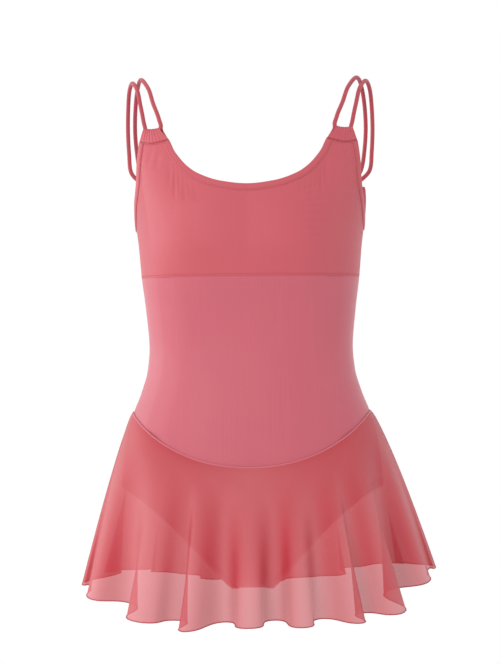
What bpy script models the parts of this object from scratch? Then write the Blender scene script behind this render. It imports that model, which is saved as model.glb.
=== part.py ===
"""Ballet dress: a camisole leotard in knit cloth with a sheer flounce skirt, in its worn shape.

Metres, +Z up. +X is the dress's left side and -Y is its front. The origin lies midway between
the shoulders, level with the tops of the straps, where a wearer carries the dress.
"""

import math
from collections import namedtuple

import bmesh
import bpy
import numpy as np

# Cloth and seams
KNIT_WALL = 0.0012
SKIRT_WALL = 0.0010
BAND_WALL = 0.0008
BAND_WIDTH = 0.008
BAND_LIFT = 0.0005
SEAM_GAP = 0.0003

# Heights below the shoulders
UNDERARM_Z = -0.178
BUST_SEAM_Z = -0.241
SIDE_SEAM_Z = -0.402
HIP_Z = -0.490
CROTCH_Z = -0.612

# The leotard's body, level by level: half its width, and how far its front and back stand out
Section = namedtuple("Section", "z half_width front back")
BODY = (
    Section(-0.050, 0.1500, 0.088, 0.080),
    Section(-0.100, 0.1478, 0.098, 0.086),
    Section(-0.135, 0.1440, 0.106, 0.088),
    Section(-0.165, 0.1390, 0.110, 0.088),
    Section(-0.200, 0.1338, 0.110, 0.086),
    Section(-0.241, 0.1302, 0.102, 0.082),
    Section(-0.280, 0.1254, 0.094, 0.077),
    Section(-0.325, 0.1218, 0.089, 0.077),
    Section(-0.350, 0.1240, 0.091, 0.082),
    Section(-0.378, 0.1320, 0.096, 0.090),
    Section(-0.402, 0.1415, 0.101, 0.099),
    Section(-0.430, 0.1500, 0.105, 0.109),
    Section(-0.460, 0.1545, 0.107, 0.118),
    Section(HIP_Z, 0.1560, 0.107, 0.122),
    Section(CROTCH_Z, 0.1560, 0.107, 0.122),
)
BODY_SQUARENESS = 2.2

# The cups: how far they rise from the chest, and where
BUST_RISE = 0.010
BUST_X = 0.066
BUST_Z = -0.188
BUST_SPREAD_X = 0.036
BUST_SPREAD_Z = 0.036

# Cut edges, as heights along the angle round the body (0 at the side, 90 at the centre)
EdgePoint = namedtuple("EdgePoint", "angle z")
FRONT_ARMHOLE = (
    EdgePoint(0.0, UNDERARM_Z),
    EdgePoint(7.0, -0.1745),
    EdgePoint(13.0, -0.1630),
    EdgePoint(17.4, -0.1515),
    EdgePoint(22.0, -0.1400),
    EdgePoint(25.4, -0.1270),
    EdgePoint(27.8, -0.1098),
    EdgePoint(30.5, -0.0914),
    EdgePoint(32.4, -0.0800),
)
STRAP_CORNER = (
    EdgePoint(32.4, -0.0800),
    EdgePoint(43.0, -0.0830),
    EdgePoint(53.6, -0.0800),
)
FRONT_NECKLINE = (
    EdgePoint(53.6, -0.0800),
    EdgePoint(54.8, -0.0845),
    EdgePoint(56.5, -0.0929),
    EdgePoint(59.6, -0.1028),
    EdgePoint(63.4, -0.1125),
    EdgePoint(68.9, -0.1221),
    EdgePoint(80.0, -0.1314),
    EdgePoint(90.0, -0.1361),
)
BACK_ARMHOLE = (
    EdgePoint(0.0, UNDERARM_Z),
    EdgePoint(6.0, -0.1680),
    EdgePoint(12.0, -0.1470),
    EdgePoint(17.0, -0.1310),
)
BACK_CORNER = (
    EdgePoint(17.0, -0.1310),
    EdgePoint(32.0, -0.1330),
)
BACK_NECKLINE = (
    EdgePoint(32.0, -0.1330),
    EdgePoint(38.0, -0.1560),
    EdgePoint(46.0, -0.1930),
    EdgePoint(56.0, -0.2260),
    EdgePoint(70.0, -0.2530),
    EdgePoint(90.0, -0.2620),
)

# The hip seam that the skirt hangs from dips to the centre front and a little at the back
FRONT_DIP = 0.0600
FRONT_DIP_POWER = 2.2
BACK_DIP = 0.0180
BACK_DIP_POWER = 2.0

# The leg holes
GUSSET_HALF_WIDTH = 0.024
FRONT_LEG_POWER = 1.5
BACK_LEG_POWER = 1.15

# The skirt
HEM_LEFT = 0.2125
HEM_RIGHT = 0.1975
HEM_FRONT = 0.176
HEM_BACK = 0.180
CREST_DROP = 0.0045
FLARE_POWER = 0.8
FOLD_START = 0.10
FOLD_GROWTH = 1.35
FOLD_BULGE = 0.5
FOLD_STATIONS = 6
SKIRT_ROWS = 7

# Every fold of the skirt: where its crest and the valley after it lie, how far they stand out
# from and in to the mean hem, how far the crest leans to the right, and how low its hem hangs
Fold = namedtuple("Fold", "crest_angle crest lean hem_z valley_angle valley")
HemStation = namedtuple("HemStation", "angle bulge out lean z")
FOLDS = (
    Fold(0.0, 0.006, 0.000, -0.589, 9.0, 0.002),
    Fold(18.0, 0.005, -0.002, -0.600, 29.0, 0.026),
    Fold(44.0, 0.015, -0.010, -0.628, 52.0, 0.010),
    Fold(58.0, 0.012, -0.007, -0.634, 65.5, 0.012),
    Fold(74.0, 0.014, 0.004, -0.6345, 81.5, 0.014),
    Fold(90.0, 0.014, 0.000, -0.634, 99.5, 0.016),
    Fold(108.0, 0.015, 0.008, -0.639, 114.0, 0.010),
    Fold(124.0, 0.014, 0.009, -0.632, 145.0, 0.022),
    Fold(162.0, 0.005, 0.002, -0.617, 171.5, 0.002),
    Fold(180.0, 0.008, 0.000, -0.607, 197.0, 0.020),
    Fold(211.0, 0.014, -0.004, -0.603, 222.0, 0.015),
    Fold(233.0, 0.013, 0.003, -0.603, 243.0, 0.015),
    Fold(254.0, 0.015, 0.000, -0.604, 264.0, 0.016),
    Fold(275.0, 0.014, -0.003, -0.604, 285.5, 0.015),
    Fold(296.0, 0.014, 0.004, -0.603, 306.5, 0.014),
    Fold(319.0, 0.015, 0.000, -0.599, 342.0, 0.020),
)

# Straps: one loop of cord a side, through the tunnel at the front and sewn inside the back
STRAP_DIAMETER = 0.005
STRAP_SAMPLES = 2
RoutePoint = namedtuple("RoutePoint", "x y z")
INNER_STRAND = (
    RoutePoint(0.0968, -0.0748, -0.0650),
    RoutePoint(0.0978, -0.0745, -0.0595),
    RoutePoint(0.1018, -0.0700, -0.0505),
    RoutePoint(0.1085, -0.0580, -0.0370),
    RoutePoint(0.1172, -0.0360, -0.0175),
    RoutePoint(0.1285, -0.0080, -0.0030),
    RoutePoint(0.1350, 0.0200, -0.0085),
    RoutePoint(0.1395, 0.0380, -0.0300),
    RoutePoint(0.1412, 0.0475, -0.0580),
    RoutePoint(0.1395, 0.0505, -0.0850),
    RoutePoint(0.1355, 0.0495, -0.1080),
)
OUTER_STRAND = (
    RoutePoint(0.1258, -0.0532, -0.0645),
    RoutePoint(0.1256, -0.0525, -0.0590),
    RoutePoint(0.1243, -0.0500, -0.0500),
    RoutePoint(0.1258, -0.0430, -0.0360),
    RoutePoint(0.1310, -0.0270, -0.0180),
    RoutePoint(0.1400, 0.0000, -0.0060),
    RoutePoint(0.1455, 0.0200, -0.0140),
    RoutePoint(0.1482, 0.0330, -0.0340),
    RoutePoint(0.1492, 0.0390, -0.0600),
    RoutePoint(0.1480, 0.0380, -0.0870),
    RoutePoint(0.1450, 0.0320, -0.1110),
)
STRAP_EXIT = 0.10
STRAP_EXIT_RISE = 0.0005
STRAP_END_ANGLES = (-27.5, -20.5)
STRAP_END_DEPTH = 0.012
STRAP_END_SLANT = 0.0009

# The gathered tunnel that each strap runs through
TUNNEL_ENDS = (37.2, 49.6)
TUNNEL_RISE = 0.0115
TUNNEL_WALL = 0.0010
TUNNEL_FOOT_GAP = 0.0006
TUNNEL_FOOT_HALF = 0.0009
TUNNEL_SPREAD = 2.6
GATHERS = 5
GATHER_DEPTH = 0.0005
GATHER_STATIONS = 2

COLOURS = {
    "opaque_knit": (0.66, 0.155, 0.185, 1.0),
    "power_mesh": (0.62, 0.185, 0.220, 1.0),
    "sheer_mesh": (0.70, 0.215, 0.240, 1.0),
    "cord": (0.56, 0.090, 0.120, 1.0),
}


def read(table, column, at, by="z"):
    """A column of a table at any value of its key, on a smooth curve that never overshoots."""
    rows = sorted(table, key=lambda row: getattr(row, by))
    xs = np.array([getattr(row, by) for row in rows])
    ys = np.array([getattr(row, column) for row in rows])
    widths, slopes = np.diff(xs), np.diff(ys) / np.diff(xs)
    tangents = np.zeros(len(xs))
    tangents[0], tangents[-1] = slopes[0], slopes[-1]
    for i in range(1, len(xs) - 1):
        if slopes[i - 1] * slopes[i] > 0:
            before, after = widths[i - 1], widths[i]
            weights = (2 * after + before, after + 2 * before)
            tangents[i] = sum(weights) / (weights[0] / slopes[i - 1] + weights[1] / slopes[i])
    i = int(np.clip(np.searchsorted(xs, at) - 1, 0, len(xs) - 2))
    t = min(max((at - xs[i]) / widths[i], 0.0), 1.0)
    return float(
        ys[i] * (1 + 2 * t) * (1 - t) ** 2
        + ys[i + 1] * t * t * (3 - 2 * t)
        + widths[i] * (tangents[i] * t * (1 - t) ** 2 - tangents[i + 1] * t * t * (1 - t))
    )


def signed_power(value, power):
    return math.copysign(abs(value) ** power, value)


def seat_share(z):
    """How much of the body's depth is left at a height: all of it to the hips, none at the crotch."""
    down = min(max((HIP_Z - z) / (HIP_Z - CROTCH_Z), 0.0), 1.0)
    return math.sqrt(1 - down * down)


def body_point(angle, z):
    """A point of the leotard's outer face. Angles are in degrees: 0 left side, 90 front, 270 back."""
    c, s = math.cos(math.radians(angle)), math.sin(math.radians(angle))
    power = 2 / BODY_SQUARENESS
    depth = read(BODY, "front" if s > 0 else "back", z) * seat_share(z)
    x = read(BODY, "half_width", z) * signed_power(c, power)
    y = -depth * signed_power(s, power)
    if s > 0:
        away_x = (abs(x) - BUST_X) / BUST_SPREAD_X
        away_z = (z - BUST_Z) / BUST_SPREAD_Z
        y -= BUST_RISE * s * math.exp(-(away_x**2 + away_z**2) / 2)
    return np.array((x, y, z))


def slopes_at(angle, z):
    """How the outer face runs round the body, per degree, and down it, per metre."""
    step, dip = 0.25, 0.0004
    round_it = (body_point(angle + step, z) - body_point(angle - step, z)) / (2 * step)
    low = max(z - dip, CROTCH_Z + 1e-7)
    high = z + dip
    along_it = (body_point(angle, high) - body_point(angle, low)) / (high - low)
    return round_it, along_it


def normal_at(angle, z):
    round_it, along_it = slopes_at(angle, z)
    normal = np.cross(along_it, round_it)
    if normal @ np.array((math.cos(math.radians(angle)), -math.sin(math.radians(angle)), 0)) < 0:
        normal = -normal
    return normal / np.linalg.norm(normal)


def raised(angle, z, out=0.0):
    """A point that stands out from the leotard's outer face, or in from it where out is negative."""
    return body_point(angle, z) + out * normal_at(angle, z)


def inset(angle, z, angle_step, z_step, width):
    """The (angle, z) that lies a width inside an edge running along (angle_step, z_step)."""
    round_it, along_it = slopes_at(angle, z)
    run = round_it * angle_step + along_it * z_step
    across = np.cross(normal_at(angle, z), run / np.linalg.norm(run))
    moves, *_ = np.linalg.lstsq(np.column_stack((round_it, along_it)), across * width, rcond=None)
    return angle + moves[0], z + moves[1]


def folded(angle):
    """The angle from the nearer side, 0 to 90, of any angle round the body."""
    around = angle % 180
    return min(around, 180 - around)


def edge_height(angle, *edges):
    """The height of a cut edge made of several tables, end to end."""
    at = folded(angle)
    for edge in edges:
        if at <= edge[-1].angle:
            return read(edge, "z", at, by="angle")
    return edges[-1][-1].z


def front_top(angle):
    return edge_height(angle, FRONT_ARMHOLE, STRAP_CORNER, FRONT_NECKLINE)


def back_top(angle):
    return edge_height(angle, BACK_ARMHOLE, BACK_CORNER, BACK_NECKLINE)


def hip_seam(angle):
    s = math.sin(math.radians(angle))
    if s > 0:
        return SIDE_SEAM_Z - FRONT_DIP * s**FRONT_DIP_POWER
    return SIDE_SEAM_Z - BACK_DIP * abs(s) ** BACK_DIP_POWER


def leg_edge(angle):
    """The height of the leg hole's edge: level across the gusset, then up to the hip."""
    half_width = read(BODY, "half_width", HIP_Z)
    x = half_width * math.cos(math.radians(folded(angle))) ** (2 / BODY_SQUARENESS)
    across = (x - GUSSET_HALF_WIDTH) / (half_width - GUSSET_HALF_WIDTH)
    power = FRONT_LEG_POWER if math.sin(math.radians(angle)) > 0 else BACK_LEG_POWER
    return HIP_Z + (CROTCH_Z - HIP_Z) * (1 - max(across, 0.0)) ** power


def edge_angle(turn):
    """The angle where the front leg hole has turned under by so many degrees, 90 at the gusset."""
    half_width = read(BODY, "half_width", HIP_Z)
    across = 1 - math.sin(math.radians(turn)) ** (1 / FRONT_LEG_POWER)
    x = GUSSET_HALF_WIDTH + (half_width - GUSSET_HALF_WIDTH) * across
    return math.degrees(math.acos((x / half_width) ** (BODY_SQUARENESS / 2)))


def spaced(*stops):
    """Angles from stop to stop, given as angle, count, angle, count, ... angle."""
    angles = [stops[0]]
    for start, count, end in zip(stops[0:-2:2], stops[1:-1:2], stops[2::2]):
        angles += [start + (end - start) * (i + 1) / count for i in range(count)]
    return angles


def mirrored_angles(half):
    """Angles of the left half, from the side to the centre at 90, carried on to the right side."""
    return half + [180 - angle for angle in reversed(half[:-1])]


def material(slot):
    made = bpy.data.materials.get(slot)
    if made is None:
        made = bpy.data.materials.new(slot)
        made.use_nodes = True
        shader = made.node_tree.nodes["Principled BSDF"]
        shader.inputs["Base Color"].default_value = COLOURS[slot]
        shader.inputs["Roughness"].default_value = 0.6
        shader.inputs["Metallic"].default_value = 0.0
        if slot == "sheer_mesh":
            shader.inputs["Alpha"].default_value = 0.7
    return made


def finish(name, mesh, slot):
    obj = bpy.data.objects.new(name, mesh)
    bpy.context.scene.collection.objects.link(obj)
    mesh.materials.append(material(slot))
    mesh.shade_smooth()
    mesh.set_sharp_from_angle(angle=math.radians(45))
    return obj


def mesh_of(name, points, faces):
    """A mesh with its faces turned outward."""
    mesh = bpy.data.meshes.new(name)
    mesh.from_pydata([tuple(p) for p in points], [], faces)
    shell = bmesh.new()
    shell.from_mesh(mesh)
    bmesh.ops.recalc_face_normals(shell, faces=shell.faces)
    if shell.calc_volume(signed=True) < 0:
        bmesh.ops.reverse_faces(shell, faces=shell.faces)
    shell.to_mesh(mesh)
    shell.free()
    return mesh


def cloth_wall(name, outer, inner, slot, looped=False):
    """A closed wall between two grids of points, rows by columns. Looped columns meet their start."""
    outer, inner = np.array(outer), np.array(inner)
    rows, columns = outer.shape[:2]
    points = np.concatenate((outer.reshape(-1, 3), inner.reshape(-1, 3)))
    back = rows * columns

    def at(row, column, side=0):
        return side * back + row * columns + column % columns

    def halves(i, j):
        """The two triangles of a cell of the grid, cut along its shorter diagonal."""
        a, b, c, d = at(i, j), at(i + 1, j), at(i + 1, j + 1), at(i, j + 1)
        if np.linalg.norm(points[a] - points[c]) > np.linalg.norm(points[b] - points[d]):
            return (b, c, d), (b, d, a)
        return (a, b, c), (a, c, d)

    faces = []
    spans = columns if looped else columns - 1
    for i in range(rows - 1):
        for j in range(spans):
            for half in halves(i, j):
                faces.append(half)
                faces.append(tuple(back + k for k in reversed(half)))
    for j in range(spans):
        faces.append((at(0, j), at(0, j + 1), at(0, j + 1, 1), at(0, j, 1)))
        faces.append((at(rows - 1, j + 1), at(rows - 1, j), at(rows - 1, j, 1), at(rows - 1, j + 1, 1)))
    if not looped:
        last = columns - 1
        for i in range(rows - 1):
            faces.append((at(i + 1, 0), at(i, 0), at(i, 0, 1), at(i + 1, 0, 1)))
            faces.append((at(i, last), at(i + 1, last), at(i + 1, last, 1), at(i, last, 1)))
    return finish(name, mesh_of(name, points, faces), slot)


def body_panel(name, angles, top, bottom, rows, slot, ends_under=False):
    """A panel of the leotard between two edges, with half a seam gap taken off all round it."""
    front = math.sin(math.radians(angles[len(angles) // 2])) > 0
    outer, inner = [], []
    for i in range(rows + 1):
        t = math.sin(i / rows * math.pi / 2) if ends_under else i / rows
        outer_row, inner_row = [], []
        for j, angle in enumerate(angles):
            high, low = top(angle) - SEAM_GAP / 2, bottom(angle)
            at_crotch = low < CROTCH_Z + 1e-6
            if not at_crotch:
                low += SEAM_GAP / 2
            z = high + (low - high) * t
            for row, out in ((outer_row, 0.0), (inner_row, -KNIT_WALL)):
                point = raised(angle, z, out)
                if j in (0, len(angles) - 1) or (at_crotch and i == rows):
                    point[1] = (-1 if front else 1) * SEAM_GAP / 2
                row.append(point)
        outer.append(outer_row)
        inner.append(inner_row)
    return cloth_wall(name, outer, inner, slot)


def edge_band(name, places, looped=False, mirrored=False):
    """A stitched band lying on a cut edge, from (edge, normal, inner line, normal) at each place."""
    outer, inner = (
        np.array([[edge + out * n, line + out * m] for edge, n, line, m in places])
        for out in (BAND_LIFT + BAND_WALL, BAND_LIFT)
    )
    if mirrored:
        outer[..., 0] *= -1
        inner[..., 0] *= -1
    if looped:
        outer, inner = outer.swapaxes(0, 1), inner.swapaxes(0, 1)
    return cloth_wall(name, outer, inner, "opaque_knit", looped)


def along_edge(angles, height):
    """The places of a band that lies along the top edge of a panel."""
    path = [(angle, height(angle) - SEAM_GAP / 2) for angle in angles]
    places = []
    for i, (angle, z) in enumerate(path):
        before, after = path[max(i - 1, 0)], path[min(i + 1, len(path) - 1)]
        line = inset(angle, z, after[0] - before[0], after[1] - before[1], BAND_WIDTH)
        places.append((raised(angle, z), normal_at(angle, z), raised(*line), normal_at(*line)))
    return places


def neck_bands():
    front = mirrored_angles(spaced(54.2, 4, 60.0, 8, 90.0))
    edge_band("neck_band_front", along_edge(front, front_top))
    back = [-angle for angle in mirrored_angles(spaced(33.0, 12, 90.0))]
    edge_band("neck_band_back", along_edge(back[::-1], back_top))


def armhole_bands():
    back = along_edge([-angle for angle in spaced(16.4, 5, 1.5)], back_top)
    front = along_edge(spaced(1.5, 5, 22.0, 6, 32.0), front_top)
    for name, mirrored in (("armhole_band_left", False), ("armhole_band_right", True)):
        edge_band(name, back + front, mirrored=mirrored)


def outside_body(point):
    """Above zero outside the leotard's outer face, zero on it and below zero within."""
    x, y, z = point
    depth = read(BODY, "front" if y < 0 else "back", z)
    across = abs(x / read(BODY, "half_width", z)) ** BODY_SQUARENESS
    down = max((HIP_Z - z) / (HIP_Z - CROTCH_Z), 0.0)
    left = signed_power(1 - down * down, BODY_SQUARENESS / 2)
    return abs(y / depth) ** BODY_SQUARENESS - (1 - across) * left


def settled(point, along, reach=0.006):
    """The point of the outer face that is met from a point near it, going along a direction."""
    low, high = -reach, reach
    for _ in range(24):
        middle = (low + high) / 2
        if outside_body(point + along * middle) > 0:
            high = middle
        else:
            low = middle
    return point + along * (low + high) / 2


def outward(point, step=0.0006):
    """The direction straight out of the leotard's outer face near a point."""
    axes = np.eye(3) * step
    slope = np.array([outside_body(point + a) - outside_body(point - a) for a in axes])
    return slope / np.linalg.norm(slope)


def round_leg():
    """The places of the band round the left leg hole: down the front, under, and up the back."""
    angles = spaced(0.0, 6, 36.0) + [edge_angle(turn) for turn in spaced(12, 16, 90)]
    path = [raised(angle, leg_edge(angle)) for angle in angles]
    path += [raised(-angle, leg_edge(-angle)) for angle in angles[-2:0:-1]]
    path.reverse()
    places = []
    for i, edge in enumerate(path):
        normal = outward(edge)
        run = path[(i + 1) % len(path)] - path[i - 1]
        across = np.cross(normal, run / np.linalg.norm(run))
        line = settled(edge + across * BAND_WIDTH, normal)
        places.append((edge, normal, line, outward(line)))
    return places


def leg_bands():
    places = round_leg()
    for name, mirrored in (("leg_band_left", False), ("leg_band_right", True)):
        edge_band(name, places, looped=True, mirrored=mirrored)


def hem_ring():
    """The skirt's folds round the hem, as rows of HemStation, one fold at a time."""
    ring = []
    for i, fold in enumerate(FOLDS):
        before, after = FOLDS[i - 1], FOLDS[(i + 1) % len(FOLDS)]
        start = before.valley_angle - (360 if i == 0 else 0)
        span = fold.valley_angle - start
        for k in range(FOLD_STATIONS):
            p = k / FOLD_STATIONS
            side = before if p < 0.5 else fold
            other = before if p < 0.5 else after
            near = abs(2 * p - 1)
            end = start if p < 0.5 else fold.valley_angle
            rise = (1 - math.cos(2 * math.pi * p)) / 2
            ring.append(
                HemStation(
                    angle=fold.crest_angle + (end - fold.crest_angle) * near,
                    bulge=FOLD_BULGE * span * math.sin(4 * math.pi * p) / (4 * math.pi),
                    out=-side.valley + (fold.crest + side.valley) * rise,
                    lean=fold.lean * rise,
                    z=fold.hem_z + (other.hem_z - fold.hem_z) * near / 2 + CREST_DROP * (1 - rise),
                )
            )
    return ring


def hem_point(angle):
    """The mean hem at an angle, before its folds."""
    c, s = math.cos(math.radians(angle)), math.sin(math.radians(angle))
    width = HEM_LEFT if c > 0 else HEM_RIGHT
    depth = HEM_FRONT if s > 0 else HEM_BACK
    return np.array((width * c, -depth * s, 0.0))


def sewn_edge(station, out):
    """Where the skirt's top edge lies on the briefs, just under the hip seam."""
    return raised(station.angle, hip_seam(station.angle) - SEAM_GAP / 2, out)


def skirt_point(station, t):
    """A point of the skirt's outer face, from the hip seam at t 0 to the hem at t 1."""
    growth = max((t - FOLD_START) / (1 - FOLD_START), 0.0) ** FOLD_GROWTH
    top = sewn_edge(station, SEAM_GAP + SKIRT_WALL)
    hem = hem_point(station.angle + station.bulge * growth)
    away = hem / np.linalg.norm(hem)
    sideways = np.array((-away[1], away[0], 0.0))
    point = top + (hem - top) * t**FLARE_POWER
    point = point + growth * (away * station.out - sideways * station.lean)
    point[2] = top[2] + (station.z - top[2]) * t
    return point


def grid_normals(grid):
    """Normals of a grid of points, rows by columns, pointing away from the body's axis."""
    down = np.gradient(grid, axis=0)
    across = np.gradient(grid, axis=1)
    normals = np.cross(across, down)
    normals /= np.linalg.norm(normals, axis=2, keepdims=True)
    return normals


def skirt_piece(name, stations):
    """Half of the skirt, from one side seam to the other."""
    rows = range(SKIRT_ROWS + 1)
    grid = np.array([[skirt_point(s, i / SKIRT_ROWS) for s in stations] for i in rows])
    normals = grid_normals(grid)
    if (normals[0, :, :2] * grid[0, :, :2]).sum() < 0:
        normals = -normals
    inner = grid - normals * SKIRT_WALL
    inner[0] = [sewn_edge(s, SEAM_GAP) for s in stations]
    cloth_wall(name, grid, inner, "sheer_mesh")


def skirt():
    """The two halves, parted at the crests of the side folds."""
    ring = hem_ring()
    ring += [s._replace(angle=s.angle + 360) for s in ring]
    half_gap = math.degrees(SEAM_GAP / HEM_RIGHT)
    for name, first, last in (("skirt_front", 0.0, 180.0), ("skirt_back", 180.0, 360.0)):
        within = [s for s in ring if first <= s.angle <= last]
        ends = [
            within[0]._replace(angle=first + half_gap),
            within[-1]._replace(angle=last - half_gap),
        ]
        skirt_piece(name, [ends[0], *within[1:-1], ends[1]])


def tunnel_axis(share):
    """Where the strap tunnel's axis lies, from its outer end at 0 to its inner end at 1."""
    angle = TUNNEL_ENDS[0] + (TUNNEL_ENDS[1] - TUNNEL_ENDS[0]) * share
    return angle, front_top(angle) + TUNNEL_RISE


def tunnel_section(share):
    """The tunnel's outside and hole at a place along it: round over the strap, thin at its foot."""
    angle, z = tunnel_axis(share)
    centre, out = raised(angle, z, -KNIT_WALL / 2), normal_at(angle, z)
    ahead, behind = (raised(*tunnel_axis(share + step)) for step in (0.02, -0.02))
    up = np.cross(out, (ahead - behind) / np.linalg.norm(ahead - behind))
    up *= math.copysign(1, up[2])
    foot_angle = angle + TUNNEL_SPREAD * (2 * share - 1)
    foot = raised(foot_angle, front_top(foot_angle) + TUNNEL_FOOT_GAP, -KNIT_WALL / 2)
    hole = STRAP_DIAMETER / 2 + SEAM_GAP
    gather = GATHER_DEPTH * (1 + math.cos(2 * math.pi * GATHERS * share))
    half = hole + TUNNEL_WALL + gather
    outer, inner = [], []
    for turn in range(-90, 271, 30):
        c, s = math.cos(math.radians(turn)), math.sin(math.radians(turn))
        inner.append(centre + (out * c + up * s) * hole)
        if s >= 0:
            outer.append(centre + (out * c + up * s) * half)
        else:
            down = -s
            slim = TUNNEL_FOOT_HALF + (half - TUNNEL_FOOT_HALF) * (1 - down) ** 0.8
            side = 1 if turn < 0 else -1
            outer.append(centre + (foot - centre) * down + out * side * slim)
    return outer, inner


def strap_tunnel(name, mirrored):
    """The gathered tunnel of cloth at a strap corner, open at both ends for the strap."""
    stations = GATHERS * GATHER_STATIONS
    sections = [tunnel_section(i / stations) for i in range(stations + 1)]
    outer, inner = (np.array(grid) for grid in zip(*sections))
    if mirrored:
        outer[..., 0] *= -1
        inner[..., 0] *= -1
    return cloth_wall(name, outer, inner, "opaque_knit", looped=True)


def smooth_route(stops, samples):
    """Points on one smooth curve through the stops."""
    stops = [np.array(s, float) for s in stops]
    padded = [2 * stops[0] - stops[1], *stops, 2 * stops[-1] - stops[-2]]
    route = []
    for a, b, c, d in zip(padded, padded[1:], padded[2:], padded[3:]):
        for k in range(samples):
            t = k / samples
            route.append(
                0.5 * (2 * b + (c - a) * t + (2 * a - 5 * b + 4 * c - d) * t**2
                       + (3 * b - a - 3 * c + d) * t**3)
            )
    return route + [stops[-1]]


def strap_route():
    """The left strap's whole route: up from inside the back, through the tunnel and back again."""
    sewn_in = -(KNIT_WALL + SEAM_GAP + STRAP_DIAMETER / 2)

    def sewn_end(angle):
        end = []
        for share in (-0.5, 0.0, 0.5, 1.0):
            z = back_top(angle) - STRAP_END_DEPTH * share
            end.append(raised(angle, z, sewn_in - STRAP_END_SLANT * (1 - share)))
        return end

    shares = (1 + STRAP_EXIT, 1.0, 0.67, 0.33, 0.0, -STRAP_EXIT)
    within = [raised(*tunnel_axis(share), -KNIT_WALL / 2) for share in shares]
    for end in (within[0], within[-1]):
        end[2] += STRAP_EXIT_RISE
    return [
        *reversed(sewn_end(STRAP_END_ANGLES[0])),
        *reversed(INNER_STRAND),
        *within,
        *OUTER_STRAND,
        *sewn_end(STRAP_END_ANGLES[1]),
    ]


def strap(name, mirrored):
    flip = -1 if mirrored else 1
    route = smooth_route(strap_route(), STRAP_SAMPLES)
    curve = bpy.data.curves.new(name, "CURVE")
    curve.dimensions = "3D"
    curve.bevel_depth = STRAP_DIAMETER / 2
    curve.bevel_resolution = 2
    curve.use_fill_caps = True
    line = curve.splines.new("POLY")
    line.points.add(len(route) - 1)
    for point, (x, y, z) in zip(line.points, route):
        point.co = (flip * x, y, z, 1)
    curve.materials.append(material("cord"))
    obj = bpy.data.objects.new(name, curve)
    bpy.context.scene.collection.objects.link(obj)
    return obj


def leotard():
    bust = mirrored_angles(spaced(0.0, 4, 20.0, 6, 32.4, 3, 53.6, 3, 60.0, 6, 90.0))
    body_panel("front_bust", bust, front_top, lambda _: BUST_SEAM_Z, 8, "opaque_knit")
    under = [edge_angle(turn) for turn in spaced(14, 7, 90)]
    front = mirrored_angles(spaced(0.0, 4, 36.0) + under[:-1] + spaced(under[-1], 2, 90.0))
    body_panel("front_midriff", front, lambda _: BUST_SEAM_Z, hip_seam, 8, "power_mesh")
    body_panel("front_brief", front, hip_seam, leg_edge, 8, "opaque_knit", ends_under=True)
    back = [-angle for angle in mirrored_angles(spaced(0.0, 5, 17.0, 3, 32.0, 8, 90.0))]
    body_panel("back_bodice", back, back_top, hip_seam, 12, "opaque_knit")
    seat = [-angle for angle in front]
    body_panel("back_brief", seat, hip_seam, leg_edge, 8, "opaque_knit", ends_under=True)


def main():
    for obj in list(bpy.data.objects):
        bpy.data.objects.remove(obj)
    leotard()
    neck_bands()
    armhole_bands()
    leg_bands()
    for side, mirrored in (("left", False), ("right", True)):
        strap_tunnel(f"strap_tunnel_{side}", mirrored)
        strap(f"strap_{side}", mirrored)
    skirt()


main()
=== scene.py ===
"""The looks of the ballet dress: finer cloth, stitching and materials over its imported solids."""

import math
from collections import namedtuple

import bpy
import numpy as np
from mathutils import Matrix, Vector


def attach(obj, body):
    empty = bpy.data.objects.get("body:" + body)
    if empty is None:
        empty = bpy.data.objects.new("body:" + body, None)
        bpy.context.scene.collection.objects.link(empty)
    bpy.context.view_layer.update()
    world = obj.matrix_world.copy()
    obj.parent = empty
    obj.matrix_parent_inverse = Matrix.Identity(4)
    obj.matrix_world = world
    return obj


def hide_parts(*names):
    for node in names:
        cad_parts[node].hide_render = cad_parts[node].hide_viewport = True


# Shared shape of the dress
KNIT_WALL = 0.0012
SKIRT_WALL = 0.0010
BAND_WALL = 0.0008
BAND_WIDTH = 0.008
BAND_LIFT = 0.0002
SEAM_GAP = 0.0003
UNDERARM_Z = -0.178
BUST_SEAM_Z = -0.241
SIDE_SEAM_Z = -0.402
HIP_Z = -0.490
CROTCH_Z = -0.612
Section = namedtuple("Section", "z half_width front back")
BODY = (
    Section(-0.050, 0.1500, 0.088, 0.080),
    Section(-0.100, 0.1478, 0.098, 0.086),
    Section(-0.135, 0.1440, 0.106, 0.088),
    Section(-0.165, 0.1390, 0.110, 0.088),
    Section(-0.200, 0.1338, 0.110, 0.086),
    Section(-0.241, 0.1302, 0.102, 0.082),
    Section(-0.280, 0.1254, 0.094, 0.077),
    Section(-0.325, 0.1218, 0.089, 0.077),
    Section(-0.350, 0.1240, 0.091, 0.082),
    Section(-0.378, 0.1320, 0.096, 0.090),
    Section(-0.402, 0.1415, 0.101, 0.099),
    Section(-0.430, 0.1500, 0.105, 0.109),
    Section(-0.460, 0.1545, 0.107, 0.118),
    Section(HIP_Z, 0.1560, 0.107, 0.122),
    Section(CROTCH_Z, 0.1560, 0.107, 0.122),
)
BODY_SQUARENESS = 2.2
BUST_RISE = 0.010
BUST_X = 0.066
BUST_Z = -0.188
BUST_SPREAD_X = 0.036
BUST_SPREAD_Z = 0.036
EdgePoint = namedtuple("EdgePoint", "angle z")
FRONT_EDGE = (
    EdgePoint(0.0, UNDERARM_Z),
    EdgePoint(7.0, -0.1745),
    EdgePoint(13.0, -0.1630),
    EdgePoint(17.4, -0.1515),
    EdgePoint(22.0, -0.1400),
    EdgePoint(25.4, -0.1270),
    EdgePoint(27.8, -0.1098),
    EdgePoint(30.5, -0.0914),
    EdgePoint(32.4, -0.0800),
)
STRAP_CORNER = (
    EdgePoint(32.4, -0.0800),
    EdgePoint(43.0, -0.0830),
    EdgePoint(53.6, -0.0800),
)
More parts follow.
